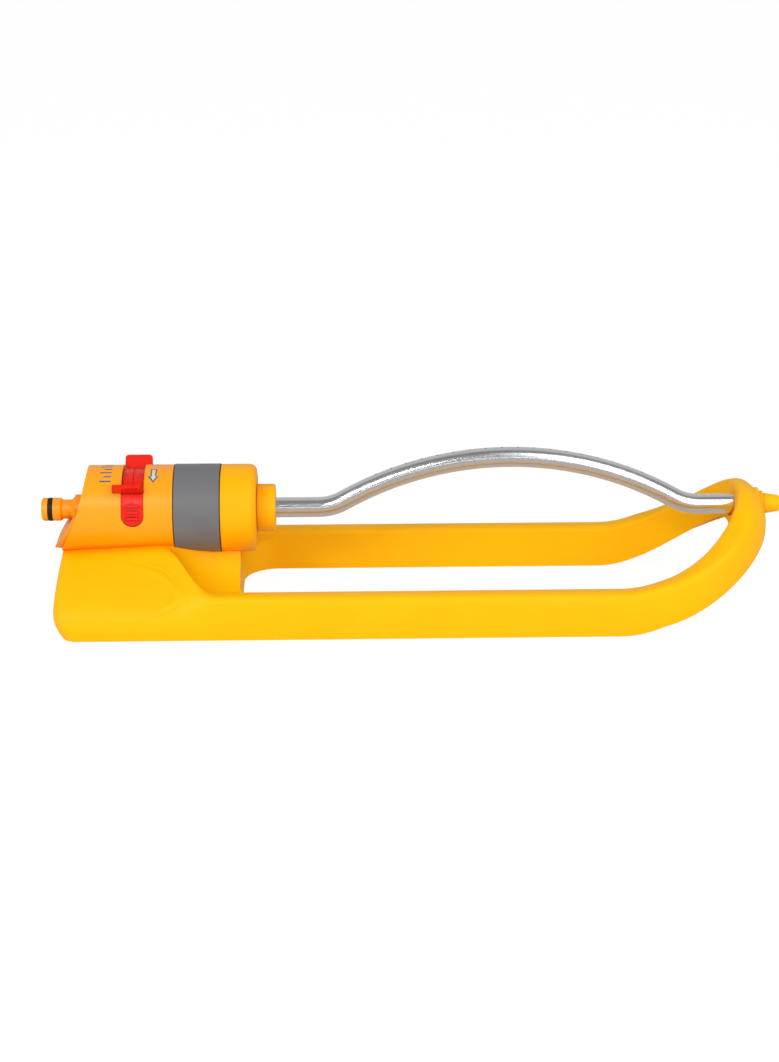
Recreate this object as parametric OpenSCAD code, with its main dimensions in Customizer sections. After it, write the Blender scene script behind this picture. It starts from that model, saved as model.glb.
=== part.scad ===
// Oscillating lawn sprinkler.
// A moulded base frame with two legs that rise into an end bearing, a round
// motor housing with two range sliders, and a bowed spray tube that swings
// between the housing's hub and the end bearing. The length runs along +X,
// the hose end is at -X, and the base stands on Z = 0.

/* [Base frame] */
// Height of the swing axis above the ground
axis_h = 68.5; // [60:0.5:80]
// Half the width of the base over its legs
leg_out = 75.5; // [72:0.5:80]
// Thickness of a leg
leg_t = 16; // [14:1:20]
// Height of a leg
leg_h = 30; // [26:1:34]
// Wall of the moulded base
wall = 2.6; // [2:0.2:3]
// Left end of the base
base_x0 = -244.4; // [-246:0.2:-242]
// Left end of the gap between the legs
gap_x0 = -119.5; // [-122:0.5:-116]
// Corner radius at the left end of the gap
gap_r = 25; // [15:1:30]
// Where the legs start to rise towards the bearing
ramp_x0 = 140; // [130:1:150]
// Where the loop's round end starts
loop_x0 = 168; // [160:1:175]
// Right end of the base frame
loop_x1 = 246.4; // [244:0.2:249]

/* [Motor housing] */
// Radius of the cover and the gearbox end
case_r = 30.5; // [30:0.1:32]
// Radius of the grey ring
ring_r = 30.9; // [30.8:0.1:32]
// Left end of the cover at its top
cover_x0 = -223.4; // [-226:0.2:-220]
// Left and right end of the grey ring
ring_x0 = -164; // [-166:1:-162]
ring_x1 = -132.6; // [-134:0.2:-130]
// Right end of the gearbox end cap
cap_x1 = -107.8; // [-110:0.2:-105]
// Radius of the rotating hub
hub_r = 16.5; // [15:0.5:18]
// Right end of the hub
hub_x1 = -95; // [-97:0.2:-92]

/* [Spray tube] */
// Outer radius of the tube
tube_r = 7; // [6:0.5:8]
// Bore radius of the tube
tube_bore_r = 5.8; // [5:0.1:6]
// Distance from the centre of the bow's long arc to the centre of an end bend
bow_pitch = 264.998; // [240:0.002:280]
// Radius of the two end bends
bend_r = 35; // [30:1:60]
// Where the bow's crest is
bow_x = 67.4; // [60:0.2:75]
// Number of spray holes
jet_n = 18; // [10:1:24]
// Diameter of a spray hole
jet_d = 1.4; // [1:0.1:2]

/* [Range sliders] */
// Left and right edge of the slot in the cover
slot_x0 = -199.4; // [-201:0.2:-198]
slot_x1 = -184; // [-186:0.2:-182]
// Half the angle that the slot spans from the top
slot_a = 95; // [85:1:100]
// Angle of the near slider's fin from the top
near_a = 47; // [40:1:60]
// Angle of the far slider's fin from the top
far_a = 37; // [30:1:50]

/* [Hose inlet] */
// Radius of the nipple's sealing land
nose_r = 8; // [7.9:0.05:8.1]
// Left end of the nipple
nose_x0 = -256.7; // [-260:0.1:-254]

/* [Gears] */
// Tooth module
gear_m = 0.6; // [0.5:0.05:0.6]
// Teeth of each pinion
pinion_n = 12; // [12:1:14]
// Teeth of each wheel
wheel_n = 30; // [26:2:30]

/* [Hidden] */
$fn = 64;

yellow = [1.0, 0.75, 0.02];
orange = [1.0, 0.66, 0.04];
grey = [0.45, 0.46, 0.47];
red = [0.93, 0.22, 0.13];
steel = [0.75, 0.76, 0.78];
black = [0.1, 0.08, 0.07];
white = [0.92, 0.92, 0.9];

case_in = case_r - wall;      // inside radius of the housing

// ---------- helpers ----------

function smooth(t) = let (c = max(0, min(1, t))) c * c * (3 - 2 * c);
function mix(a, b, t) = a + (b - a) * t;
function rev(list) = [for (i = [len(list) - 1 : -1 : 0]) list[i]];

// A solid through a list of closed rings with the same number of points. The end rings are
// capped as flat polygons, or by strips between mirrored points where they aren't flat
module loft(rings, mirrored = false) {
    n = len(rings[0]);
    m = len(rings);
    z = (m - 1) * n;
    points = [for (r = rings) for (p = r) p];
    sides = [for (i = [0 : m - 2]) for (j = [0 : n - 1])
        let (a = i * n + j, b = i * n + (j + 1) % n, c = a + n, d = b + n)
        each [[a, b, d], [a, d, c]]];
    flat = [[for (j = [n - 1 : -1 : 0]) j], [for (j = [0 : n - 1]) z + j]];
    strips = [for (j = [0 : n / 2 - 2])
        let (a = n - 1 - j, b = n - 2 - j)
        each [[a, j + 1, j], [a, b, j + 1], [z + a, z + j, z + j + 1], [z + a, z + j + 1, z + b]]];
    polyhedron(points, concat(sides, mirrored ? strips : flat));
}

// A cylinder along X, from x0 to x1, on the swing axis
module rod(x0, x1, r, r2 = undef) {
    translate([x0, 0, axis_h])
        rotate([0, 90, 0])
            cylinder(h = x1 - x0, r1 = r, r2 = r2 == undef ? r : r2);
}

// A tube along X on the swing axis
module sleeve(x0, x1, r, bore) {
    difference() {
        rod(x0, x1, r);
        rod(x0 - 1, x1 + 1, bore);
    }
}

// Turns a profile of [x, radius] points about the swing axis
module turned(points) {
    translate([0, 0, axis_h])
        rotate([0, 90, 0])
            rotate_extrude($fn = 96)
                polygon([for (p = points) [p[1], p[0]]]);
}

// A rubber ring round the swing axis
module oring(x, r, thick) {
    translate([x, 0, axis_h])
        rotate([0, 90, 0])
            rotate_extrude($fn = 96)
                translate([r, 0])
                    circle(r = thick, $fn = 24);
}

// An angle range of a ring round the axis; angles from the top, positive to the near side
module ring_sector(x0, x1, r0, r1, a0, a1) {
    translate([x0, 0, axis_h])
        rotate([90, 0, 90])
            rotate([0, 0, 90 + a0])
                rotate_extrude(angle = a1 - a0, $fn = 128)
                    translate([r0, 0])
                        square([r1 - r0, x1 - x0]);
}

// ---------- gears ----------

// One flank of an involute tooth, as [radius, angle] pairs from the base circle out
function flank(z, m, tip) =
    let (rb = z * m / 2 * cos(20), steps = 4)
    [for (i = [0 : steps])
        let (r = mix(rb, tip, i / steps), t = sqrt(max(0, pow(r / rb, 2) - 1)))
        [r, t * 180 / PI - atan(t)]];

// Outline of a spur gear; backlash is taken off each flank as an angle
function gear_points(z, m, backlash) =
    let (rp = z * m / 2, tip = rp + 0.9 * m, root = rp - 1.2 * m,
         tp = tan(20), at_pitch = tp * 180 / PI - 20,
         half = 90 / z - backlash / rp * 180 / PI,
         f = flank(z, m, tip))
    [for (k = [0 : z - 1]) let (c = k * 360 / z)
        each concat(
            [[root, c - half - at_pitch]],
            [for (p = f) [p[0], c - half - at_pitch + p[1]]],
            [for (p = rev(f)) [p[0], c + half + at_pitch - p[1]]],
            [[root, c + half + at_pitch]])];

module gear_blank(z, m, backlash = 0.07) {
    polygon([for (p = gear_points(z, m, backlash)) p[0] * [cos(p[1]), sin(p[1])]]);
}

// A gear along X. A pinion has a tooth straight down and a wheel a gap straight up or down,
// so that a pair mesh as they stand
module gear(x0, x1, z, bore) {
    translate([x0, 0, 0])
        rotate([90, 0, 90])
            linear_extrude(x1 - x0)
                difference() {
                    gear_blank(z, gear_m);
                    circle(r = bore);
                }
}

gear_c = (pinion_n + wheel_n) * gear_m / 2;    // distance between the two axles

module on_axis() {
    translate([0, 0, axis_h]) children();
}

module on_side() {
    translate([0, 0, axis_h - gear_c]) children();
}

// ---------- base frame ----------

tuck = 0.9;            // how far the outside face draws in at the ground
apex_t = 21;           // thickness of the loop at the bearing
apex_h = 27.5;         // height of the loop at the bearing
apex_z = 56;           // underside of the loop at the bearing
apex_lean = 12;        // how far the outside face leans in at the bearing
loop_pow = 0.92;       // roundness of the loop's end in plan, 1 for an ellipse
ramp_len = 131;        // length of the rise, along the leg

// Points along a cubic curve with the control points a, b, c and d
function curve(a, b, c, d, n) = [for (i = [0 : n])
    let (t = i / n, u = 1 - t)
    u * u * u * a + 3 * u * u * t * b + 3 * u * t * t * c + t * t * t * d];

function loop_out(t) = [loop_x0 + (loop_x1 - loop_x0) * pow(sin(t), loop_pow),
                        leg_out * pow(cos(t), loop_pow)];
function loop_in(t) = [loop_x0 + (loop_x1 - apex_t - loop_x0) * pow(sin(t), loop_pow),
                       (leg_out - leg_t) * pow(cos(t), loop_pow)];

// Outside face of a leg up to its top, as [inset from the face, height] points
function outside_face(h, lean) =
    let (foot = tuck * (1 - lean / apex_lean))
    concat([[foot, 0], [0.3 * foot, 3.5]],
           curve([0, 8 - lean / 3], [0, 0.8 * h - 0.6 * lean], [0.6 * lean, h - 0.5],
                 [5 + 0.9 * lean, h], 10));

// Cross-section of a leg: outside face, top, inside face and the channel under it
function channel(t, h, lean) =
    let (flare = 0.35 * lean, foot = tuck * (1 - lean / apex_lean))
    concat(outside_face(h, lean),
           [[t - 3.2, h - 0.1], [t - 1.5, h - 0.7], [t - 0.4, h - 1.9], [t, h - 3.8],
            [t + 0.3 * flare, 0.45 * h], [t + flare, 0], [t + flare - wall, 0],
            [t + 0.3 * flare - wall, 0.45 * h], [t - wall, h - 6.5], [t - 4.6, h - 3.6],
            [6 + 0.75 * lean, h - 3.4], [3.6 + 0.45 * lean, h - 6],
            [wall + 0.2 + 0.2 * lean, 0.55 * h], [wall + 0.06 * lean, 9], [foot + wall, 0]]);

// One ring of the loop: outside and inside points in plan, ramp position s
function leg_ring(po, pi, s, side) =
    let (k = smooth(s / ramp_len), t = norm(pi - po),
         h = mix(leg_h, apex_h, smooth(s / 90)), lean = apex_lean * smooth((s - 60) / 70))
    [for (p = channel(t, h, lean))
        let (q = po + (pi - po) * p[0] / t) [q[0], side * q[1], apex_z * k + p[1]]];

leg_stations = [-94.5, 20, 120, ramp_x0, 147, 154, 161];
loop_step = 5;

function straight_rings(side) = [for (x = leg_stations)
    leg_ring([x, leg_out], [x, leg_out - leg_t], x - ramp_x0, side)];
function curve_rings(side, last) = [for (t = [0 : loop_step : last])
    leg_ring(loop_out(t), loop_in(t), loop_x0 - ramp_x0 + (ramp_len - loop_x0 + ramp_x0) * t / 90,
             side)];

module loop() {
    loft(concat(straight_rings(-1), curve_rings(-1, 90),
                rev(concat(straight_rings(1), curve_rings(1, 90 - loop_step)))));
}

// The pedestal under the housing: a loft along X of mirrored cross-sections
rim_z0 = 45;           // height of the cradle's rim at the left end
rim_z1 = 49.7;         // height of the rim at the scoop
scoop_rim = [15.8, 42.4];    // rim of the cradle beside the grey ring
scoop_x0 = -174;       // where the scoop beside the grey ring starts
scoop_x1 = -136;       // where the scoop's edge meets the leg
scoop_fall = 1.25;     // how late the scoop's edge falls
corner_r = 12;         // corners of the pedestal in plan

// The cradle's rim under the cover, as a [y, z] point just inside the case
function rim(x) =
    let (z = mix(rim_z0, rim_z1, min(1, (x - base_x0) / (scoop_x0 - base_x0))))
    [sqrt(pow(case_r - 0.1, 2) - pow(axis_h - z, 2)), z];

// 0 under the cover and 1 at the legs, where the outside face is the leg's own
function scoop(x) = smooth((x - scoop_x0) / (scoop_x1 - scoop_x0));

// Control points of the outside face at x
function face_control(x) =
    let (k = scoop(x), fall = pow(k, scoop_fall), r = rim(x))
    [[leg_out, 8], [leg_out, 24], [mix(52, leg_out, k), mix(34, leg_h - 0.5, k)],
     [mix(r[0] + 4.4, leg_out - 5, k), mix(r[1] - 1.1, leg_h, fall)]];

// Half cross-section, from the ground outside to the cradle's rim
function pedestal_half(x) =
    let (k = scoop(x), fall = pow(k, scoop_fall), r = rim(x), f = face_control(x),
         inner = leg_out - leg_t,
         crest = [[mix(r[0] + 3.4, inner + 3.2, k), mix(r[1] - 0.8, leg_h - 0.1, fall)],
                  [mix(r[0] + 2.6, inner + 1.5, k), mix(r[1] - 0.6, leg_h - 0.7, fall)],
                  [mix(r[0] + 1.9, inner + 0.4, k), mix(r[1] - 0.45, leg_h - 1.9, fall)],
                  [mix(r[0] + 1.3, inner, k), mix(r[1] - 0.32, leg_h - 3.8, fall)]])
    concat([[leg_out - tuck, 0], [leg_out - 0.3 * tuck, 3.5]],
           curve(f[0], f[1], f[2], f[3], 14),
           crest,
           curve([mix(r[0] + 1, inner - 0.4, k), mix(r[1] - 0.25, leg_h - 5.6, fall)],
                 [mix(r[0] + 0.7, 56, k), mix(r[1] - 0.18, 19, fall)],
                 [mix(r[0] + 0.3, 28, k), mix(r[1] - 0.08, 20, fall)],
                 [mix(r[0], scoop_rim[0], k), mix(r[1], scoop_rim[1], fall)], 8));

// The left end stands out most at end_z, and draws in above it and towards the ground
end_z = 17;
function end_tuck(x, z) =
    (1 - smooth((x - base_x0) / 25))
    * (z > end_z ? 3.6 * pow((z - end_z) / 32, 1.3) : 5.5 * pow(1 - z / end_z, 2));

function pedestal_ring(x) =
    let (d = min(corner_r, x - base_x0),
         inset = corner_r - sqrt(corner_r * corner_r - pow(corner_r - d, 2)),
         half = [for (p = pedestal_half(x)) [p[0] - inset * p[0] / leg_out, p[1]]])
    concat([for (p = half) [x + end_tuck(x, p[1]), -p[0], p[1]]],
           [for (p = rev(half)) [x + end_tuck(x, p[1]), p[0], p[1]]]);

pedestal_stations = concat([for (d = [0, 0.4, 1.3, 2.8, 4.8, 7.4, 11.9, 18, 25]) base_x0 + d],
                           [for (x = [scoop_x0 : 3.2 : scoop_x1 + 2]) x],
                           [-126, -108, -90]);

// The raised crescent on the pedestal's side, in terms of the face: x along the base and v
// from 0 at the ground to 1 at the crest
nose_x = -160.5;       // tip of the crescent
nose_v = 0.53;
face_len = 62;         // length of the face from v = 0 to v = 1

// A point of the outside face at x and v, raised by h along its normal
function face_point(x, v, h) =
    let (f = face_control(x), u = 1 - v,
         p = u * u * u * f[0] + 3 * u * u * v * f[1] + 3 * u * v * v * f[2] + v * v * v * f[3],
         d = u * u * (f[1] - f[0]) + 2 * u * v * (f[2] - f[1]) + v * v * (f[3] - f[2]),
         n = [d[1], -d[0]] / norm(d),
         q = p + h * n)
    [x, -q[0], q[1]];

// Profile across the crescent, from its inner side outwards: [distance, height]
crescent_profile = [[-6.4, -0.7], [-4.4, 0], [-2.6, 0.32], [-1, 0.72], [0.4, 0.95], [1.6, 0.8],
                    [3.2, 0.25], [4.4, 0.02], [5, 0.3], [5.9, 0.34], [6.8, 0], [7.6, -0.7],
                    [4, -2], [-2, -2]];

// One ring of the crescent; a runs from -1 at its lower end to 1 at its upper end
function crescent_ring(a) =
    let (reach = a > 0 ? 45 : 33, rise = a > 0 ? 0.36 : 0.42,
         along = [-2 * reach * a, rise * face_len], n = [along[1], -along[0]] / norm(along),
         wide = 1 - 0.45 * a * a, high = 1 - pow(abs(a), 3))
    [for (p = crescent_profile)
        let (h = p[1] < 0 ? p[1] : p[1] * high - 0.35 * (1 - high))
        face_point(nose_x - reach * a * a + p[0] * wide * n[0],
                   nose_v + rise * a + p[0] * wide * n[1] / face_len, h)];

module crescent() {
    loft([for (i = [14 : -1 : -14]) crescent_ring(i / 14)]);
}

module gap_outline(grow) {
    r = gap_r + grow;
    x0 = gap_x0 - grow;
    w = leg_out - leg_t + 0.02 + grow;    // just inside the legs' inner faces
    translate([x0 + r, -w]) square([60, 2 * w]);
    translate([x0, r - w]) square([60, 2 * (w - r)]);
    for (s = [-1, 1])
        translate([x0 + r, s * (w - r)]) circle(r = r);
}

// Plan of the hollow under the pedestal, inside the end wall and its round corners
module hollow_plan() {
    x0 = base_x0 + 8.4;
    r = 8.5;
    y = leg_out - 3.5;
    translate([x0 + r, -y]) square([160, 2 * y]);
    translate([x0, r - y]) square([2 * r, 2 * (y - r)]);
    for (s = [-1, 1])
        translate([x0 + r, s * (y - r)]) circle(r = r);
}

// A hollow along X; half is half its cross-section, as [y, z] points from the ground to its roof
module hollow_prism(x0, x1, half) {
    rotate([90, 0, 90])
        translate([0, 0, x0])
            linear_extrude(x1 - x0)
                polygon(concat(half, [for (p = rev(half)) [-p[0], p[1]]]));
}

// The hollow under the pedestal, open at the ground
module pedestal_hollow() {
    intersection() {
        hollow_prism(base_x0, scoop_x0,
                     concat([[leg_out - 3.4, -1]],
                            curve([leg_out - 3, 8], [leg_out - 3, 22.5], [50, 31], [27, 43], 8)));
        translate([0, 0, -2])
            linear_extrude(60) hollow_plan();
    }
    hollow_prism(scoop_x0 - 1, scoop_x0 + 85,
                 [[leg_out - 3.4, -1], [leg_out - 3, 9], [leg_out - 6, 14], [64, 18.2], [60, 19.4]]);
}

// The whole moulding without its round bores. The resize keeps its size as it is
module base_skin() {
    resize([0, 0, 0])
        union() {
            difference() {
                loft([for (x = pedestal_stations) pedestal_ring(x)], mirrored = true);
                translate([0, 0, -1])
                    linear_extrude(80) gap_outline(0, $fn = 128);
                difference() {
                    pedestal_hollow();
                    rod(base_x0 - 10, gap_x0 + 10, case_r + wall);
                    translate([0, 0, -2])
                        linear_extrude(90) gap_outline(wall, $fn = 128);
                }
            }
            loop();
            for (side = [0, 1])
                mirror([0, side, 0]) crescent();
        }
}

screw_x = [-213, -127];
screw_y = 9;
screw_z = axis_h - case_r - wall;     // underside of the cradle on the centre line
head_r = 3.2;          // screw heads

module base_frame() {
    color(yellow)
        difference() {
            union() {
                base_skin();
                // bearing boss inside the loop
                rod(loop_x1 - apex_t + 1, 241.4, 11.2);
                // posts that carry the screws
                for (x = screw_x, s = [-1, 1])
                    translate([x, s * screw_y, screw_z - 3])
                        cylinder(h = 7, r = 5);
            }
            rod(base_x0 - 10, ring_x0 - 0.4, case_r);
            rod(ring_x0 - 0.5, ring_x1 + 0.5, ring_r);
            rod(ring_x1 + 0.4, gap_x0 + 2, case_r);
            rod(loop_x1 - apex_t - 10, loop_x1 + 10, bush_r);
            // screw holes, with wells for the heads
            for (x = screw_x, s = [-1, 1])
                translate([x, s * screw_y, -1]) {
                    cylinder(h = screw_z + 15, r = 1.6);
                    cylinder(h = screw_z - 2, r = head_r + 0.4);
                }
        }
}

// ---------- housing ----------

// The slanted left end, as [x, z] points down the centre line
cover_end = concat([[cover_x0, axis_h + case_r + 1]],
                   curve([cover_x0 - 1, axis_h + 26], [cover_x0 - 5, axis_h + 7],
                         [cover_x0 - 8, axis_h - 1], [cover_x0 - 18.2, axis_h - 21], 10),
                   [[cover_x0 - 18.2, axis_h - case_r - 1]]);
// The end of the lip that stands out below the nipple
lip_z = axis_h + 3;    // top of the lip
lip_x0 = -252;         // ends of the cone that the lip is cut from
lip_x1 = -228;
lip_r = 26;            // radius of the cone at its left end
shell_x0 = -246;       // left end of the cover before its slanted end is cut
lip_end = concat(curve([cover_x0 - 8.2, lip_z], [cover_x0 - 11, axis_h - 3],
                       [cover_x0 - 15.5, axis_h - 9], [cover_x0 - 24, axis_h - 22.6], 8),
                 [[cover_x0 - 24, axis_h - case_r - 1]]);

// Everything left of an end profile, moved right by dx
module end_cut(profile, dx) {
    rotate([90, 0, 0])
        translate([0, 0, -50])
            linear_extrude(100)
                polygon(concat([for (p = profile) p + [dx, 0]],
                               [[-270, axis_h - case_r - 1], [-270, profile[0][1]]]));
}

// The lip: a cone that narrows to the left, down to the base's rim
module cover_lip() {
    difference() {
        rod(lip_x0, lip_x1, lip_r, case_r - 0.1);
        end_cut(lip_end, 0);
        translate([lip_x0 - 8, -50, lip_z]) cube([50, 100, 60]);
        // clear of the base's rim
        translate([base_x0 - 46.6, -50, -1]) cube([50, 100, rim_z0 + 1.3]);
    }
}

module housing_cover() {
    color(orange)
        difference() {
            union() {
                difference() {
                    union() {
                        difference() {
                            rod(shell_x0, ring_x0 - 0.4, case_r);
                            end_cut(cover_end, 0);
                        }
                        cover_lip();
                    }
                    difference() {
                        rod(shell_x0, ring_x0 + 1, case_in);
                        end_cut(cover_end, 3);
                        // bosses for the screws and the socket for the hose nipple
                        for (s = [-1, 1])
                            translate([screw_x[0], s * screw_y, axis_h - case_r])
                                cylinder(h = 11, r = 4);
                        rod(-250, -222, 12.6);
                    }
                }
                // spigot into the grey ring
                sleeve(ring_x0 - 3, ring_x0 + 5, case_in + 0.4, case_in - 1.6);
            }
            // seats of the nipple's flange, the seal behind it and the tail
            rod(-250, flange_x1, 10.2);
            rod(flange_x1 - 1, flange_x1 + 1.8, 9.8);
            rod(flange_x1 - 1, flange_x1 + 2.2, 8.12);
            rod(-240, -221, 6.12);
            slot();
            // groove of the housing seal
            sleeve(ring_x0 + 1.85, ring_x0 + 3.35, case_in + 1, case_in - 1);
            for (s = [-1, 1])
                translate([screw_x[0], s * screw_y, axis_h - case_r - 1])
                    cylinder(h = 10, r = 1.5);
        }
}

slot_w = slot_x1 - slot_x0;
slot_mid = (slot_x0 + slot_x1) / 2;

// The sliders' slot, with round ends that are a hair wider than its sides
module slot() {
    turn = slot_a - slot_w / 2 / case_r * 180 / PI;
    ring_sector(slot_x0, slot_x1, case_in - 3, case_r + 2, -turn, turn);
    for (s = [-1, 1])
        translate([slot_mid, 0, axis_h])
            rotate([s * turn, 0, 0])
                cylinder(h = case_r + 5, r = slot_w / 2 + 0.03);
}

module coupling_ring() {
    color(grey)
        sleeve(ring_x0, ring_x1, ring_r, case_in + 0.4);
}

module gearbox_end() {
    color(yellow)
        difference() {
            union() {
                turned(concat([[ring_x1 + 0.4, 0], [ring_x1 + 0.4, case_r]],
                              curve([cap_x1 - 5.4, case_r], [cap_x1 - 2.2, case_r],
                                    [cap_x1, case_r - 2], [cap_x1, case_r - 4.6], 8),
                              [[cap_x1, 0]]));
                sleeve(ring_x1 - 5, ring_x1 + 3, case_in + 0.4, case_in - 1.6);
            }
            difference() {
                rod(ring_x1 - 1, cap_x1 - 3.4, case_in);
                for (s = [-1, 1])
                    translate([screw_x[1], s * screw_y, axis_h - case_r])
                        cylinder(h = 11, r = 4);
                rod(cap_x1 - 8, cap_x1, 13);
            }
            rod(ring_x1 - 10, cap_x1 + 5, neck_r + 0.06);
            // recess for the shaft seal
            rod(cap_x1 - 9, cap_x1 - 4.5, 11.5);
            // groove of the housing seal
            sleeve(ring_x1 - 3.35, ring_x1 - 1.85, case_in + 1, case_in - 1);
            for (s = [-1, 1])
                translate([screw_x[1], s * screw_y, axis_h - case_r - 1])
                    cylinder(h = 10, r = 1.5);
        }
}

neck_r = 9;            // rotating neck of the hub, in the end cap's bearing

module output_hub() {
    color(yellow)
        difference() {
            union() {
                turned([[cap_x1 + 0.4, 0], [cap_x1 + 0.4, hub_r], [hub_x1 - 1, hub_r],
                        [hub_x1, hub_r - 1], [hub_x1, 0]]);
                rod(-128, cap_x1 + 1, neck_r);
            }
            rod(-104, hub_x1 + 1, tube_r);
            rod(-122, -103, tube_bore_r);
            // socket of the output shaft and groove of the tube's seal
            rod(-129, -122.4, 4);
            rod(-101.9, -100.1, tube_r + 1.8);
            // ports that let the water into the neck
            for (a = [45 : 90 : 315])
                translate([-118.6, 0, axis_h])
                    rotate([a, 0, 0])
                        translate([0, 0, 3.8])
                            cylinder(h = 8, r = 1.8);
        }
}

module tube_seal() {
    color(black)
        oring(-101, tube_r + 0.9, 0.9);
}

module shaft_seal() {
    color(black)
        sleeve(cap_x1 - 8, cap_x1 - 4.5, 11.5, neck_r + 0.04);
}

module housing_seals() {
    color(black) {
        oring(ring_x0 + 2.6, case_in - 0.3, 0.7);
        oring(ring_x1 - 2.6, case_in - 0.3, 0.7);
    }
}

// ---------- spray tube ----------

bow_a = 30;                                  // slope where the arcs meet
bow_r = bow_pitch - bend_r;                  // radius of the long arc
bow_half = bow_pitch * sin(bow_a);           // half the length of the bow
bow_centre = axis_h + bend_r - bow_pitch * cos(bow_a);
tube_x0 = -104;
tube_x1 = 240.5;

// An arc of the tube in the XZ plane, with its centre at [x, z]
module tube_arc(x, z, radius, r, from, sweep) {
    translate([x, 0, z])
        rotate([90, 0, 0])
            rotate_extrude(angle = sweep, start = from, $fn = 160)
                translate([radius, 0])
                    circle(r = r, $fn = 48);
}

module tube_path(r) {
    rod(tube_x0, bow_x - bow_half, r);
    tube_arc(bow_x - bow_half, axis_h + bend_r, bend_r, r, 270, bow_a);
    tube_arc(bow_x, bow_centre, bow_r, r, 90 - bow_a, 2 * bow_a);
    tube_arc(bow_x + bow_half, axis_h + bend_r, bend_r, r, 270 - bow_a, bow_a);
    rod(bow_x + bow_half, tube_x1, r);
}

jet_span = 23;         // half the angle of the bow that carries the spray holes

module spray_tube() {
    color(steel)
        difference() {
            tube_path(tube_r);
            tube_path(tube_bore_r);
            for (i = [0 : jet_n - 1])
                translate([bow_x, 0, bow_centre])
                    rotate([0, mix(-jet_span, jet_span, i / (jet_n - 1)), 0])
                        translate([0, 0, bow_r + 2])
                            cylinder(h = 10, r = jet_d / 2, $fn = 16);
        }
}

// ---------- end bearing and plug ----------

bush_r = 8.8;
bush_x0 = 224.8;
bush_x1 = 244.6;

module end_bush() {
    color(yellow)
        difference() {
            rod(bush_x0, bush_x1, bush_r);
            rod(bush_x0 - 1, bush_x1 + 1, tube_r + 0.08);
        }
}

plug_x0 = 245.1;
plug_x1 = 256.7;

module end_plug() {
    color(yellow)
        turned([[232, 0], [232, 4.8], [233, 5.74], [236, 5.74], [236, 4], [238.4, 4], [238.4, 5.74],
                [plug_x0, 5.74], [plug_x0, 7.4], [plug_x1 - 0.6, 5.6], [plug_x1, 5], [plug_x1, 0]]);
}

module plug_oring() {
    color(black)
        oring(237.2, 4.89, 0.89);
}

// ---------- hose inlet ----------

flange_x1 = -229.4;     // back of the nipple's flange

module hose_nipple() {
    color(orange)
        turned([[nose_x0, 5.4], [nose_x0, 7], [nose_x0 + 0.8, 7.8], [nose_x0 + 1.6, nose_r],
                [nose_x0 + 4.2, nose_r], [nose_x0 + 4.2, 6.15], [nose_x0 + 7.8, 6.15],
                [nose_x0 + 7.8, nose_r], [nose_x0 + 13, nose_r], [nose_x0 + 14.6, 6.7],
                [nose_x0 + 20.6, 6.7], [nose_x0 + 22.4, 8.6], [nose_x0 + 23.4, 10.2],
                [flange_x1, 10.2], [flange_x1, 8.1], [flange_x1 + 2.2, 8.1],
                [flange_x1 + 2.2, 6.1], [-221.2, 6.1],
                [-221.2, 4.8], [nose_x0 + 3, 4.8]]);
}

// A wide ring with a crowned outside, in the nipple's groove
module nipple_oring() {
    color(black)
        turned(concat([[nose_x0 + 4.25, 6.16]],
                      curve([nose_x0 + 4.25, 7.5], [nose_x0 + 4.5, 8.35], [nose_x0 + 7.5, 8.35],
                            [nose_x0 + 7.75, 7.5], 8),
                      [[nose_x0 + 7.75, 6.16]]));
}

module inlet_seal() {
    color(black)
        sleeve(flange_x1, flange_x1 + 1.8, 9.8, 8.1);
}

module inlet_filter() {
    color(white)
        difference() {
            union() {
                sleeve(nose_x0 + 3, nose_x0 + 5, 4.8, 3.4);
                turned([[nose_x0 + 5, 3.4], [nose_x0 + 5, 4.6], [nose_x0 + 19, 2.6],
                        [nose_x0 + 20, 0], [nose_x0 + 19, 0], [nose_x0 + 18, 1.6]]);
            }
            for (a = [0 : 60 : 300], k = [0 : 3])
                translate([nose_x0 + 7.4 + 2.8 * k, 0, axis_h])
                    rotate([a, 0, 0])
                        cylinder(h = 8, r = 0.6, $fn = 16);
        }
}

// ---------- water motor ----------

shaft_r = 1.5;

module jet_plate() {
    color(white)
        difference() {
            rod(-219.6, -216.6, case_in - 0.02);
            rod(-221, -215, shaft_r + 0.06);
            for (a = [0 : 60 : 300])
                translate([-218, 0, axis_h])
                    rotate([a, 0, 0])
                        translate([0, 0, 10])
                            rotate([35, 90, 0])
                                cylinder(h = 12, r = 1.6, center = true);
            for (s = [-1, 1])
                translate([screw_x[0], s * screw_y, axis_h - case_r])
                    cylinder(h = 12, r = 4.4);
        }
}

blade_n = 12;          // blades of the turbine

module turbine() {
    color(white)
        difference() {
            union() {
                rod(-214, -207, 4);
                sleeve(-214, -212.8, 14, 3);
                for (a = [0 : 360 / blade_n : 359])
                    translate([-210.5, 0, axis_h])
                        rotate([a, 0, 0])
                            translate([-3.5, -0.5, 3.5])
                                cube([7, 1, 10.3]);
            }
            rod(-216, -205, shaft_r);
        }
}

module turbine_shaft() {
    color(steel)
        rod(-220.6, -165, shaft_r);
    color(steel)
        on_axis() gear(-178.4, -174.4, pinion_n, shaft_r - 0.01);
}

plate_r = 23;

module plate(x0, x1, centre_bore) {
    difference() {
        rod(x0, x1, plate_r);
        rod(x0 - 1, x1 + 1, centre_bore);
        on_side() translate([x0 - 1, 0, 0]) rotate([0, 90, 0]) cylinder(h = x1 - x0 + 2, r = shaft_r);
        // water passes round the train
        for (a = [60 : 60 : 300])
            if (a != 180)
                translate([x0 - 1, 0, axis_h])
                    rotate([a, 0, 0])
                        translate([0, 0, 17])
                            rotate([0, 90, 0])
                                cylinder(h = x1 - x0 + 2, r = 3);
    }
}

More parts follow.
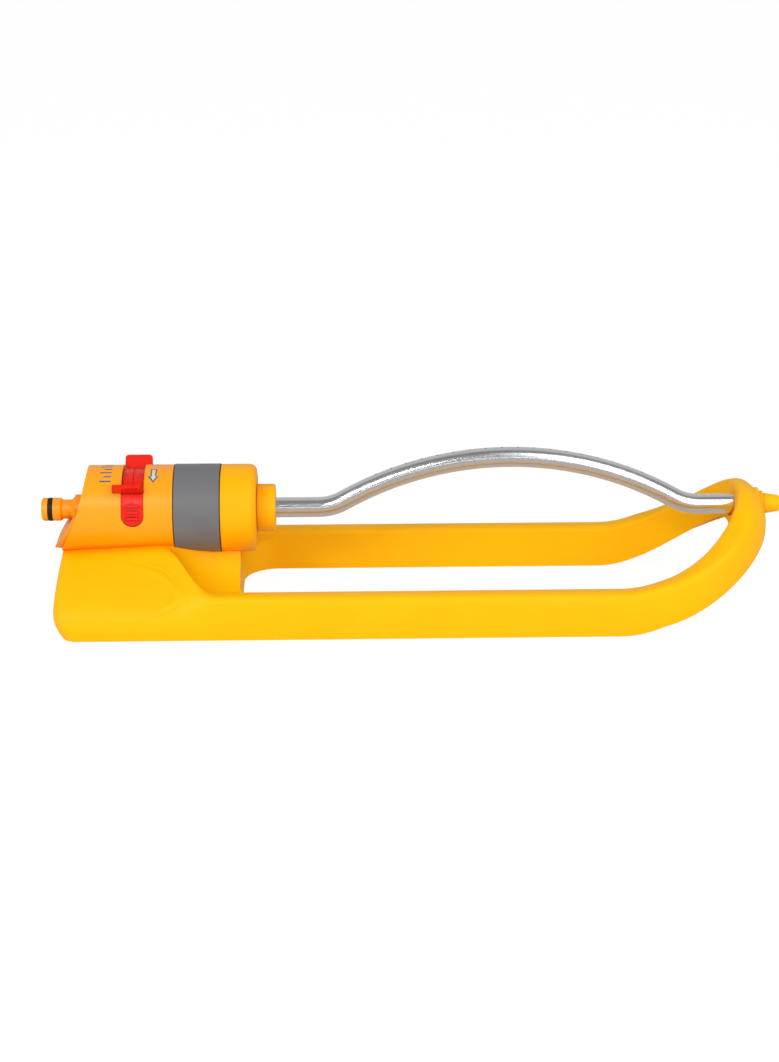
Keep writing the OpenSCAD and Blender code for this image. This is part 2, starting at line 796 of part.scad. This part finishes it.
module gear_plate_front() {
    color(white) {
        plate(-182.4, -180, shaft_r + 0.06);
        for (a = [30, 150, 210, 330])
            translate([-180.2, 0, axis_h])
                rotate([a, 0, 0])
                    translate([0, 0, 21])
                        rotate([0, 90, 0])
                            cylinder(h = 27.2, r = 1.8);
    }
}

module gear_plate_rear() {
    color(white) {
        plate(-153, -150.6, 4.06);
        // rim that seats in the end cap's spigot
        sleeve(-153, ring_x1 - 2, case_in - 1.6, 24.6);
        sleeve(-153, -150.6, case_in - 1.6, plate_r - 1);
    }
}

module side_axle() {
    color(steel)
        on_side()
            translate([-182.4, 0, 0])
                rotate([0, 90, 0])
                    cylinder(h = 31.8, r = shaft_r);
}

// A wheel and a pinion in one piece
module compound(x0) {
    gear(x0, x0 + 3.4, wheel_n, shaft_r + 0.06);
    gear(x0 + 3.4, x0 + 9.4, pinion_n, shaft_r + 0.06);
}

module reduction_gear_a() {
    color(white) on_side() compound(-178.2);
}

module reduction_gear_b() {
    color(white) on_axis() compound(-172.6);
}

module reduction_gear_c() {
    color(white) on_side() compound(-167);
}

module output_gear() {
    color(white)
        on_axis() gear(-161.4, -158, wheel_n, 4);
}

module output_shaft() {
    color(steel)
        rod(-162.4, -122.4, 4);
}

// ---------- reversing gear ----------

module trip_lever() {
    color(red) {
        sleeve(-206, -199.8, 4.5, shaft_r + 0.1);
        translate([-206, -2, axis_h + 4])
            cube([3, 4, 17]);
        translate([-206, -2, axis_h + 17])
            cube([14, 4, 4]);
    }
}

module diverter() {
    color(red) {
        difference() {
            rod(-216.2, -214.6, 14);
            rod(-217, -214, shaft_r + 0.1);
            for (a = [30 : 60 : 330])
                translate([-217, 0, axis_h])
                    rotate([a, 0, 0])
                        translate([0, 0, 10])
                            rotate([0, 90, 0])
                                cylinder(h = 4, r = 2);
        }
        // arm round the turbine to the trip lever
        translate([-216.2, -2, axis_h + 13])
            cube([1.6, 4, 5]);
        translate([-216.2, -2, axis_h + 16])
            cube([10.2, 4, 2]);
    }
}

// Torsion spring: a close coil round the lever's hub and a leg down to the case
module trip_spring() {
    color(steel) {
        for (k = [0 : 2])
            oring(-202.4 + 0.9 * k, 5.02, 0.5);
        translate([-201.5, 0, axis_h - case_in])
            cylinder(h = case_in - 4.9, r = 0.5);
        translate([-200.6, 5.02, axis_h])
            cylinder(h = 9, r = 0.5);
    }
}

// ---------- range sliders ----------

band_r0 = case_in - 2.4;
band_r1 = case_in - 0.1;
band_gap = 0.15;
pad_gap = 0.3;         // between a pad and each side of the slot
foot_gap = 0.4;        // between a band or a fin's foot and the slot's side
over_r = case_in + 0.15;    // from here out a slider spans the whole slot
fin_r = 39.5;
pad_r = case_r - 0.1;
pad_a = 33;            // from the fin to the centre of the pad's round end
rib_step = 8;          // angle between the ribs on a pad
rib_h = 0.8;

// Outline of a thumb pad on the tangent plane: x along the slot, y round the case
module pad_outline() {
    r = slot_w / 2 - pad_gap;
    circle(r = r);
    translate([-r, 0]) square([2 * r, 15]);
}

// What lies under a thumb pad's outline, between two radii
module pad_block(x0, x1, r0, r1, a) {
    intersection() {
        sleeve(x0, x1, r1, r0);
        translate([slot_mid, 0, axis_h])
            rotate([a, 0, 0])
                rotate([0, 0, a > 0 ? 0 : 180])
                    linear_extrude(40) pad_outline();
    }
}

// A rib across a pad, with round ends, standing rib_h over it
module pad_rib(a) {
    r = 0.9;
    x = 3.6;
    sunk = 0.8;
    translate([slot_mid, 0, axis_h])
        rotate([a, 0, 0])
            translate([0, 0, pad_r - sunk])
                linear_extrude(sunk + rib_h) {
                    for (side = [-1, 1])
                        translate([side * x, 0]) circle(r = r, $fn = 24);
                    square([2 * x, 2 * r], center = true);
                }
}

// A hoop with a raised thumb pad below its fin; side is 1 for the near slider. Inside over_r
// everything stays on the slider's own half of the slot
module slider(x0, x1, fin_x0, fin_x1, a_fin, side) {
    sleeve(x0, x1, band_r1, band_r0);
    pad_block(x0, x1, band_r0 + 1, over_r + 1, side * (a_fin + pad_a));
    pad_block(slot_x0, slot_x1, over_r, pad_r, side * (a_fin + pad_a));
    for (k = [0 : 2])
        pad_rib(side * (a_fin + pad_a + 4 - k * rib_step));
    // fin: a foot inside the slot and a plate over the case
    translate([0, 0, axis_h])
        rotate([side * (a_fin + 1.5), 0, 0]) {
            translate([x0, -fin_t / 2, band_r0 + 1])
                cube([x1 - x0, fin_t, 7]);
            translate([slot_x0 + foot_gap, -fin_t / 2, over_r])
                cube([slot_w - 2 * foot_gap, fin_t, 7]);
            translate([0, fin_t / 2, 0])
                rotate([90, 0, 0])
                    linear_extrude(fin_t) fin_outline(fin_x0, fin_x1);
        }
}

fin_t = 2.8;
fin_r0 = case_r + 0.4;

// Outline of a fin's plate, rounded at its outer corners
module fin_outline(x0, x1) {
    r = 2.4;
    translate([x0, fin_r0]) square([x1 - x0, fin_r - r - fin_r0]);
    translate([x0 + r, fin_r0]) square([x1 - x0 - 2 * r, fin_r - fin_r0]);
    for (x = [x0 + r, x1 - r])
        translate([x, fin_r - r]) circle(r = r);
}

module slider_near() {
    color(red) slider(slot_x0 + foot_gap, slot_mid - band_gap, -205, -185, near_a, 1);
}

module slider_far() {
    color(red) slider(slot_mid + band_gap, slot_x1 - foot_gap, -200, -181, far_a, -1);
}

module base_screws() {
    color(steel)
        for (x = screw_x, s = [-1, 1])
            translate([x, s * screw_y, screw_z - 5.5]) {
                cylinder(h = 2.5, r = head_r);
                cylinder(h = 14, r = 1.5);
            }
}

base_frame();
housing_cover();
coupling_ring();
gearbox_end();
output_hub();
spray_tube();
tube_seal();
end_bush();
end_plug();
plug_oring();
hose_nipple();
nipple_oring();
inlet_filter();
inlet_seal();
jet_plate();
turbine();
turbine_shaft();
gear_plate_front();
gear_plate_rear();
side_axle();
reduction_gear_a();
reduction_gear_b();
reduction_gear_c();
output_gear();
output_shaft();
shaft_seal();
housing_seals();
trip_lever();
diverter();
trip_spring();
slider_near();
slider_far();
base_screws();
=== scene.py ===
"""Looks of an oscillating lawn sprinkler: materials, print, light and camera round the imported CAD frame.

Lengths are in metres, in the CAD's frame: +X along the swing axis from the hose inlet, +Z up. The
viewer is on the -Y side. Colours are linear red, green and blue.
"""
import math

import bpy
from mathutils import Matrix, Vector

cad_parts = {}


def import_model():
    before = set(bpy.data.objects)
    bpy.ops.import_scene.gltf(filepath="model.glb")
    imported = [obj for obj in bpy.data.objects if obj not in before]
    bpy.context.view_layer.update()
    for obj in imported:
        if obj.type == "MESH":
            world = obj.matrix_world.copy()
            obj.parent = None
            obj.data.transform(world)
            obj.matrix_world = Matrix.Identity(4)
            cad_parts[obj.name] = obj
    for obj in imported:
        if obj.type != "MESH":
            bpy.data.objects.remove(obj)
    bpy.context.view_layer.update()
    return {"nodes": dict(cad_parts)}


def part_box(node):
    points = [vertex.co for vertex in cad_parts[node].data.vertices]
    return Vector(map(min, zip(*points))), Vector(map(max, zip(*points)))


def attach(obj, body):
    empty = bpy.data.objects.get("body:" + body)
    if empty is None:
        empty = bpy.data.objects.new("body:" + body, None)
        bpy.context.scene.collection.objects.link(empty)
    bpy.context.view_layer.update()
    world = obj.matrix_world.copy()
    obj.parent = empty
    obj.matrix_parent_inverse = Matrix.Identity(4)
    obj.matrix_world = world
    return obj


MM = 0.001

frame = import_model()
nodes = frame["nodes"]


# ---------- places taken from the frame ----------

COVER_LOW, COVER_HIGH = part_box("housing_cover")
RING_LOW, RING_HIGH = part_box("coupling_ring")
SLIDER_LOW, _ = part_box("slider_near")
AXIS_Z = (RING_LOW.z + RING_HIGH.z) / 2
COVER_R = (COVER_HIGH.y - COVER_LOW.y) / 2

SEAM_OFFSET = 0.2 * MM
COVER_SEAM = RING_LOW.x - SEAM_OFFSET
CAP_SEAM = RING_HIGH.x + SEAM_OFFSET


# ---------- node helpers ----------

class NodeTree:
    """A short way to write the nodes of a material, a world or a modifier."""

    def __init__(self, tree):
        self.tree = tree

    def add(self, kind, **inputs):
        """A new node; an underscore in an input's name stands for a space."""
        node = self.tree.nodes.new(kind)
        for name, value in inputs.items():
            self.set(node, name.replace("_", " "), value)
        return node

    def set(self, node, key, value):
        """Links a socket to the input called or numbered key, or writes a plain value into it."""
        socket = node.inputs[key]
        if isinstance(value, bpy.types.NodeSocket):
            self.tree.links.new(value, socket)
        else:
            socket.default_value = value

    def noise(self, vector, scale, detail, roughness=0.5):
        """A noise's factor; scale is in cycles a metre."""
        node = self.add("ShaderNodeTexNoise", Vector=vector, Scale=scale, Detail=detail, Roughness=roughness)
        return node.outputs["Fac"]

    def ramp(self, value, span, to):
        """Maps value from the span (low, high) to the pair (at low, at high), clamped."""
        node = self.add("ShaderNodeMapRange", Value=value,
                        From_Min=span[0], From_Max=span[1], To_Min=to[0], To_Max=to[1])
        return node.outputs["Result"]

    def mix_colour(self, share, a, b):
        """From a to b, each a colour of three numbers or a socket. The node's colour inputs are 6 and 7."""
        node = self.add("ShaderNodeMix")
        node.data_type = "RGBA"
        self.set(node, 0, share)
        for index, colour in ((6, a), (7, b)):
            plain_colour = not isinstance(colour, bpy.types.NodeSocket)
            self.set(node, index, (*colour, 1.0) if plain_colour else colour)
        return node.outputs[2]

    def mix_shader(self, share, a, b):
        node = self.add("ShaderNodeMixShader", Fac=share)
        self.set(node, 1, a)
        self.set(node, 2, b)
        return node.outputs[0]

    def math(self, operation, a, b=0.0):
        node = self.add("ShaderNodeMath")
        node.operation = operation
        self.set(node, 0, a)
        self.set(node, 1, b)
        return node.outputs[0]

    def bump(self, height, distance, strength, normal=None):
        node = self.add("ShaderNodeBump", Height=height, Distance=distance, Strength=strength)
        if normal is not None:
            self.set(node, "Normal", normal)
        return node.outputs["Normal"]


def cleared_tree(owner):
    """The emptied node tree of a material or a world."""
    owner.use_nodes = True
    owner.node_tree.nodes.clear()
    return NodeTree(owner.node_tree)


def new_material(name):
    """A material with one Principled shader, and the place on the object that its patterns follow."""
    material = bpy.data.materials.new(name)
    tree = cleared_tree(material)
    shader = tree.add("ShaderNodeBsdfPrincipled")
    tree.add("ShaderNodeOutputMaterial", Surface=shader.outputs["BSDF"])
    place = tree.add("ShaderNodeTexCoord").outputs["Object"]
    return material, tree, shader, place


# ---------- materials ----------

# The span that a noise's factor mostly keeps to.
NOISE_SPAN = (0.3, 0.7)

# Plastic: the depth of its grain and its waves, where its clouds turn from colour to shade, and how far
# smears move its roughness down and up.
GRAIN_DEPTH = 0.012 * MM
WAVE_DEPTH = 0.05 * MM
CLOUD_SPAN = (0.35, 0.65)
SMEAR_DOWN, SMEAR_UP = 0.04, 0.05

# Painted shade in the gap at a seam: full up to the first distance from its middle, gone at the second.
SEAM_SHADE_SPAN = (0.30 * MM, 0.55 * MM)
SEAM_SHADE_SHARE = 0.9
SEAM_SHADE_COLOUR = (0.030, 0.014, 0.006)

# Painted shade in corners, a deeper colour: full where little of the sky is open, gone where nearly all of
# it is.
SKY_SPAN = (0.45, 0.95)
SKY_SAMPLES = 8
# Between these heights it sets in, because lower down the floor would count as a corner too.
CORNER_SHADE_HEIGHTS = (14 * MM, 28 * MM)

# A corner's painted shade: how far the corner reaches, and the share of each colour channel that is left in
# it.
BASE_CORNER_SHADE = (12 * MM, (0.97, 0.72, 1.0))
COVER_CORNER_SHADE = (6 * MM, (0.85, 0.60, 1.0))
SLIDER_CORNER_SHADE = (1.4 * MM, (0.24, 0.24, 0.24))

# Metal and rubber: how deep their streaks and dust are.
STREAK_DEPTH = 0.02 * MM
DUST_DEPTH = 0.01 * MM

# Ink: where its wear sets in, and the largest share of the worn colour.
WEAR_SPAN = (0.45, 0.7)
WEAR_SHARE = 0.5


def with_painted_seam_shade(tree, place, tint, seam):
    """The tint with a dark line of painted shade in the gap round the housing at seam, a place along X."""
    along = tree.add("ShaderNodeSeparateXYZ", Vector=place).outputs["X"]
    away = tree.math("ABSOLUTE", tree.math("SUBTRACT", along, seam))
    return tree.mix_colour(tree.ramp(away, SEAM_SHADE_SPAN, (SEAM_SHADE_SHARE, 0.0)), tint, SEAM_SHADE_COLOUR)


def with_painted_corner_shade(tree, place, tint, colour, corner_shade):
    """The tint with painted shade, deeper in the corners, by the reach and the shares of colour in the last
    argument.
    """
    reach, left = corner_shade
    sky = tree.add("ShaderNodeAmbientOcclusion", Distance=reach)
    sky.samples = SKY_SAMPLES
    shade_share = tree.ramp(sky.outputs["AO"], SKY_SPAN, (1.0, 0.0))
    height = tree.add("ShaderNodeSeparateXYZ", Vector=place).outputs["Z"]
    shade_share = tree.math("MULTIPLY", shade_share, tree.ramp(height, CORNER_SHADE_HEIGHTS, (0.0, 1.0)))
    shaded_colour = [channel * part for channel, part in zip(colour, left)]
    return tree.mix_colour(shade_share, tint, shaded_colour)


def plastic(name, colour, shade, roughness, gloss, seams=(), corner_shade=None):
    """Moulded plastic: a fine spark-eroded grain, slow waves in the wall and a slight change of tint, with
    painted shade at seams and in corners where asked.
    """
    material, tree, shader, place = new_material(name)
    cloud = tree.noise(place, scale=22.0, detail=3.0)
    tint = tree.mix_colour(tree.ramp(cloud, CLOUD_SPAN, (0.0, 1.0)), colour, shade)
    # Painted shade: a dark line in the gap between parts at each seam.
    for seam in seams:
        tint = with_painted_seam_shade(tree, place, tint, seam)
    # Painted shade: the colour deepens in corners, where little sky is open.
    if corner_shade:
        tint = with_painted_corner_shade(tree, place, tint, colour, corner_shade)
    grain = tree.noise(place, scale=2600.0, detail=2.0)
    smear = tree.noise(place, scale=140.0, detail=4.0)
    wave = tree.noise(place, scale=45.0, detail=1.0)
    waves = tree.bump(wave, WAVE_DEPTH, strength=0.5)
    tree.set(shader, "Base Color", tint)
    smeared = tree.ramp(smear, NOISE_SPAN, (roughness - SMEAR_DOWN, roughness + SMEAR_UP))
    tree.set(shader, "Roughness", smeared)
    tree.set(shader, "Normal", tree.bump(grain, GRAIN_DEPTH, strength=0.6, normal=waves))
    tree.set(shader, "Specular IOR Level", gloss)
    return material


def aluminium(name):
    """Drawn tube: lengthwise streaks, a soft polish and faint handling marks."""
    material, tree, shader, place = new_material(name)
    drawn = tree.add("ShaderNodeMapping", Vector=place, Scale=(0.012, 1.0, 1.0)).outputs["Vector"]
    streaks = tree.noise(drawn, scale=1800.0, detail=3.0, roughness=0.6)
    marks = tree.noise(place, scale=160.0, detail=3.0)
    tree.set(shader, "Base Color", tree.mix_colour(streaks, (0.80, 0.81, 0.83), (0.90, 0.90, 0.91)))
    tree.set(shader, "Roughness", tree.ramp(marks, NOISE_SPAN, (0.20, 0.28)))
    tree.set(shader, "Normal", tree.bump(streaks, STREAK_DEPTH, strength=0.35))
    tree.set(shader, "Metallic", 1.0)
    return material


def steel(name):
    """Turned steel: fine rings round the axis."""
    material, tree, shader, place = new_material(name)
    turned = tree.add("ShaderNodeMapping", Vector=place, Scale=(6.0, 1.0, 1.0)).outputs["Vector"]
    rings = tree.noise(turned, scale=1500.0, detail=2.0)
    tree.set(shader, "Base Color", tree.mix_colour(rings, (0.52, 0.53, 0.54), (0.66, 0.66, 0.67)))
    tree.set(shader, "Roughness", tree.ramp(rings, NOISE_SPAN, (0.24, 0.36)))
    tree.set(shader, "Metallic", 1.0)
    return material


def rubber(name):
    """Dull black rubber with a trace of dust."""
    material, tree, shader, place = new_material(name)
    dust = tree.noise(place, scale=900.0, detail=4.0)
    tree.set(shader, "Base Color", tree.mix_colour(dust, (0.010, 0.006, 0.004), (0.030, 0.018, 0.012)))
    tree.set(shader, "Roughness", tree.ramp(dust, NOISE_SPAN, (0.42, 0.58)))
    tree.set(shader, "Normal", tree.bump(dust, DUST_DEPTH, strength=0.5))
    tree.set(shader, "Specular IOR Level", 0.25)
    return material


def ink(name, colour, worn):
    """Printed ink, which lets a little of the plastic through where it is worn."""
    material, tree, shader, place = new_material(name)
    patch = tree.noise(place, scale=1500.0, detail=3.0)
    wear = tree.ramp(patch, WEAR_SPAN, (0.0, WEAR_SHARE))
    tree.set(shader, "Base Color", tree.mix_colour(wear, colour, worn))
    tree.set(shader, "Roughness", tree.ramp(patch, NOISE_SPAN, (0.4, 0.5)))
    return material


# The seams and corner shares given below paint shade into these plastics: dark lines in the gaps at the
# housing's seams, and deeper colour in corners.
YELLOW = plastic("moulded_yellow", (1.0, 0.490, 0.0004), (1.0, 0.472, 0.0004),
                 roughness=0.42, gloss=0.12, corner_shade=BASE_CORNER_SHADE)
CAP = plastic("moulded_yellow_cap", (1.0, 0.440, 0.0004), (1.0, 0.422, 0.0004),
              roughness=0.40, gloss=0.14, seams=(CAP_SEAM,), corner_shade=BASE_CORNER_SHADE)
ORANGE = plastic("moulded_orange", (1.0, 0.355, 0.0003), (1.0, 0.338, 0.0003),
                 roughness=0.33, gloss=0.42, seams=(COVER_SEAM,), corner_shade=COVER_CORNER_SHADE)
GREY = plastic("moulded_grey", (0.165, 0.165, 0.172), (0.152, 0.152, 0.158),
               roughness=0.42, gloss=0.3, seams=(COVER_SEAM, CAP_SEAM))
RED = plastic("moulded_red", (0.80, 0.015, 0.004), (0.76, 0.012, 0.003),
              roughness=0.28, gloss=0.28, corner_shade=SLIDER_CORNER_SHADE)
WHITE = plastic("natural_white", (0.80, 0.79, 0.76), (0.74, 0.73, 0.70), roughness=0.45, gloss=0.4)
TUBE = aluminium("drawn_aluminium")
STEEL = steel("turned_steel")
RUBBER = rubber("black_rubber")
BLUE_INK = ink("blue_ink", (0.030, 0.125, 0.235), worn=(0.20, 0.25, 0.20))
PALE_INK = ink("pale_ink", (0.66, 0.66, 0.36), worn=(0.75, 0.58, 0.20))

NODE_MATERIALS = {
    YELLOW: ["base_frame", "output_hub", "end_bush", "end_plug"],
    CAP: ["gearbox_end"],
    ORANGE: ["housing_cover", "hose_nipple"],
    GREY: ["coupling_ring"],
    RED: ["slider_near", "slider_far", "trip_lever", "diverter"],
    WHITE: ["inlet_filter", "jet_plate", "turbine", "gear_plate_front", "gear_plate_rear",
            "reduction_gear_a", "reduction_gear_b", "reduction_gear_c", "output_gear"],
    TUBE: ["spray_tube"],
    STEEL: ["turbine_shaft", "side_axle", "output_shaft", "trip_spring", "base_screws"],
    RUBBER: ["tube_seal", "plug_oring", "nipple_oring", "inlet_seal", "shaft_seal", "housing_seals"],
}

for material, names in NODE_MATERIALS.items():
    for name in names:
        slots = nodes[name].data.materials
        slots.clear()
        slots.append(material)


# ---------- smooth skin of the moulded base ----------

WELD_DISTANCE = 0.002 * MM
SHARP_ANGLE = math.radians(38.0)


def smooth_skin():
    """A modifier's nodes: weld the facets' corners, then shade smooth over all but the sharp edges."""
    group = bpy.data.node_groups.new("smooth_by_angle", "GeometryNodeTree")
    for way in ("INPUT", "OUTPUT"):
        group.interface.new_socket("Geometry", in_out=way, socket_type="NodeSocketGeometry")
    tree = NodeTree(group)
    start = tree.add("NodeGroupInput").outputs[0]
    joined = tree.add("GeometryNodeMergeByDistance", Geometry=start, Distance=WELD_DISTANCE).outputs[0]
    angle = tree.add("GeometryNodeInputMeshEdgeAngle").outputs[0]
    sharp = tree.add("FunctionNodeCompare", A=angle, B=SHARP_ANGLE)
    sharp.operation = "GREATER_THAN"
    normal = tree.add("GeometryNodeSetMeshNormal")
    normal.mode = "SHARPNESS"
    tree.set(normal, "Mesh", joined)
    tree.set(normal, "Remove Custom", True)
    tree.set(normal, "Edge Sharpness", sharp.outputs[0])
    tree.set(normal, "Face Sharpness", False)
    tree.set(tree.add("NodeGroupOutput"), 0, normal.outputs[0])
    return group


nodes["base_frame"].modifiers.new("smooth_skin", "NODES").node_group = smooth_skin()


# ---------- print on the cover ----------

INK_HEIGHT = 0.04 * MM
FILL_HEIGHT = 0.07 * MM

ARROW_X = RING_LOW.x - 13.8 * MM
ARROW_START, ARROW_END = 4.4 * MM, 19.2 * MM
HALF_SHAFT, HALF_HEAD, HEAD_LENGTH = 2.1 * MM, 3.9 * MM, 6.0 * MM
ARROW_STEPS = 8
OUTLINE = 1.0 * MM
# What one unit of inset takes off the head, whose slanted sides need more than the straight shaft.
HEAD_NARROWS, NECK_MOVES, HEAD_SHORTENS = 1.9, 0.4, 2.4

TICK_X = SLIDER_LOW.x - 1.6 * MM
TICK_COUNT = 9
TICK_STEP = 4.4 * MM
LONG_TICK, SHORT_TICK = 8.0 * MM, 5.2 * MM
HALF_TICK = 0.7 * MM


def cover_point(x, arc, height):
    """A point over the cover: arc runs round it from the top, positive towards the viewer's side."""
    angle = arc / COVER_R
    radius = COVER_R + height
    return (x, -radius * math.sin(angle), AXIS_Z + radius * math.cos(angle))


def printed(name, rows, height, material):
    """A patch of ink: rows of (x0, x1, arc) across the print, lofted along the arc round the cover."""
    # The rows run from the viewer's side over to the far side, so that the faces point outwards.
    if rows[0][2] < rows[-1][2]:
        rows = rows[::-1]
    verts, faces = [], []
    # Each row gives four corners: its two ends on the cover, then the same two at the ink's height.
    for x0, x1, arc in rows:
        for h in (0.0, height):
            verts += [cover_point(x0, arc, h), cover_point(x1, arc, h)]
    for i in range(len(rows) - 1):
        a, b = 4 * i, 4 * i + 4
        faces += [(a + 2, a + 3, b + 3, b + 2), (a, b, b + 1, a + 1),
                  (a, a + 2, b + 2, b), (a + 1, b + 1, b + 3, a + 3)]
    last = 4 * (len(rows) - 1)
    faces += [(0, 1, 3, 2), (last, last + 2, last + 3, last + 1)]
    mesh = bpy.data.meshes.new(name)
    mesh.from_pydata(verts, [], faces)
    mesh.materials.append(material)
    piece = bpy.data.objects.new(name, mesh)
    bpy.context.scene.collection.objects.link(piece)
    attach(piece, "frame")


def arrow_rows(side, inset=0.0):
    """The arrow's rows from tail to tip, drawn in by inset; side is 1 on the near side, -1 on the far."""
    half_shaft = HALF_SHAFT - inset
    half_head = HALF_HEAD - HEAD_NARROWS * inset
    neck = ARROW_END - HEAD_LENGTH
    tail = ARROW_START + inset
    shaft_length = neck - inset - ARROW_START
    head_start = neck + inset * NECK_MOVES
    head_length = HEAD_LENGTH - HEAD_SHORTENS * inset
    shares = [step / ARROW_STEPS for step in range(ARROW_STEPS + 1)]
    rows = [(half_shaft, tail + shaft_length * share) for share in shares]
    rows += [(half_head * (1 - share), head_start + head_length * share) for share in shares]
    return [(ARROW_X - half, ARROW_X + half, side * arc) for half, arc in rows]


for side, tag in ((1, "near"), (-1, "far")):
    printed(f"arrow_outline_{tag}", arrow_rows(side), INK_HEIGHT, BLUE_INK)
    printed(f"arrow_fill_{tag}", arrow_rows(side, OUTLINE), FILL_HEIGHT, PALE_INK)

for tick in range(TICK_COUNT):
    length = LONG_TICK if tick % 2 == 0 else SHORT_TICK
    arc = (tick - TICK_COUNT // 2) * TICK_STEP
    rows = [(TICK_X - length, TICK_X, edge) for edge in (arc - HALF_TICK, arc + HALF_TICK)]
    printed(f"tick_mark_{tick}", rows, INK_HEIGHT, BLUE_INK)


# ---------- studio ----------

WHITE_LIGHT = (1.0, 1.0, 1.0)

# The glow stands in for GLOW_SHARE of the floor where the camera or a mirror looks at it.
FLOOR_COLOUR = (0.86, 0.86, 0.86)
FLOOR_MIRRORED = (0.46, 0.40, 0.34)
FLOOR_GLOW = 1.05
GLOW_SHARE = 0.9
FLOOR_SIDE = 14.0
FLOOR_PLACE = (0.0, 3.0, -0.3 * MM)

LIGHT_LEVEL = 0.50
# What mirrors see, by how far a direction leans towards +Y, the back: front half, back half, backdrop.
FRONT_HALF = 0.21
BACK_HALF = 2.5 * FRONT_HALF
BACKDROP = 0.7
BACK_HALF_SPAN = (0.1, 0.3)
BACKDROP_SPAN = (0.9, 0.98)

# Each lamp's place, the point that it faces, its width and height, and its power in watts. The spray
# tube mirrors the key and left softboxes and the strip, and the cover softbox lights the cover's top.
LAMPS = {
    "key_softbox": ((1.02, -1.3, 1.5), (0.72, 0, 1.5), (1.2, 2.3), 26.0),
    "front_strip": ((-0.3, -1.9, 0.46), (0, 0, 0.10), (3.0, 0.14), 2.6),
    "left_softbox": ((-1.45, -1.25, 1.05), (-0.1, 0, 0.05), (1.0, 1.0), 14.0),
    "cover_softbox": ((-0.62, -1.5, 1.25), (-0.19, 0, 0.08), (0.4, 0.20), 4.5),
}


def pale_floor():
    """The floor's material: the camera sees mostly plain white, mirrors a dimmer tone, light its colour."""
    material = bpy.data.materials.new("pale_floor")
    tree = cleared_tree(material)
    path = tree.add("ShaderNodeLightPath").outputs
    diffuse = tree.add("ShaderNodeBsdfDiffuse", Color=(*FLOOR_COLOUR, 1.0)).outputs["BSDF"]
    shown = tree.mix_colour(path["Is Glossy Ray"], WHITE_LIGHT, FLOOR_MIRRORED)
    glow = tree.add("ShaderNodeEmission", Color=shown, Strength=FLOOR_GLOW).outputs["Emission"]
    seen = tree.math("MAXIMUM", path["Is Camera Ray"], path["Is Glossy Ray"])
    surface = tree.mix_shader(tree.ramp(seen, (0.0, 1.0), (0.0, GLOW_SHARE)), diffuse, glow)
    tree.add("ShaderNodeOutputMaterial", Surface=surface)
    return material


def world():
    """Even pale light all round. The camera sees plain white, mirrors a dim room with a pale backdrop."""
    studio = bpy.data.worlds.new("studio")
    bpy.context.scene.world = studio
    tree = cleared_tree(studio)
    path = tree.add("ShaderNodeLightPath").outputs
    way = tree.add("ShaderNodeTexCoord").outputs["Generated"]
    back = tree.add("ShaderNodeSeparateXYZ", Vector=way).outputs["Y"]
    room = tree.ramp(back, BACK_HALF_SPAN, (FRONT_HALF, BACK_HALF))
    backdrop = tree.ramp(back, BACKDROP_SPAN, (0.0, BACKDROP - BACK_HALF))
    level = tree.ramp(path["Is Camera Ray"], (0.0, 1.0), (LIGHT_LEVEL, 1.0))
    seen = tree.math("ADD", room, backdrop)
    plain_light = tree.add("ShaderNodeBackground", Color=(*WHITE_LIGHT, 1.0), Strength=level).outputs[0]
    mirrored = tree.add("ShaderNodeBackground", Color=(*WHITE_LIGHT, 1.0), Strength=seen).outputs[0]
    surface = tree.mix_shader(path["Is Glossy Ray"], plain_light, mirrored)
    tree.add("ShaderNodeOutputWorld", Surface=surface)


def area_light(name, place, aim, size, watts):
    """A rectangular lamp that faces the point aim."""
    light = bpy.data.lights.new(name, "AREA")
    light.shape = "RECTANGLE"
    light.size, light.size_y = size
    light.energy = watts
    lamp = bpy.data.objects.new(name, light)
    bpy.context.scene.collection.objects.link(lamp)
    lamp.location = place
    lamp.rotation_mode = "QUATERNION"
    lamp.rotation_quaternion = (Vector(aim) - Vector(place)).to_track_quat("-Z", "Y")


bpy.ops.mesh.primitive_plane_add(size=1.0, location=FLOOR_PLACE)
plane = bpy.context.object
plane.name = "floor"
plane.scale = (FLOOR_SIDE, FLOOR_SIDE, 1.0)
plane.data.materials.append(pale_floor())

world()
for name, (place, aim, size, watts) in LAMPS.items():
    area_light(name, place, aim, size, watts)


# ---------- camera ----------

ELEVATION = math.radians(20.0)
YAW = math.radians(1.5)
DISTANCE = 1.4238
LOOK_AT = Vector((-0.0158, 0.0, 0.0502))
VIEW = Vector((
    math.sin(YAW) * math.cos(ELEVATION),
    math.cos(YAW) * math.cos(ELEVATION),
    -math.sin(ELEVATION),
))
SENSOR_WIDTH, FOCAL_LENGTH = 36.0, 68.95
CLIP_NEAR, CLIP_FAR = 0.05, 50.0

camera_data = bpy.data.cameras.new("camera")
camera_data.sensor_width = SENSOR_WIDTH
camera_data.lens = FOCAL_LENGTH
camera_data.clip_start = CLIP_NEAR
camera_data.clip_end = CLIP_FAR
camera = bpy.data.objects.new("camera", camera_data)
bpy.context.scene.collection.objects.link(camera)
camera.location = LOOK_AT - VIEW * DISTANCE
camera.rotation_mode = "QUATERNION"
camera.rotation_quaternion = VIEW.to_track_quat("-Z", "Y")
bpy.context.scene.camera = camera
bpy.context.scene.view_settings.view_transform = "Standard"
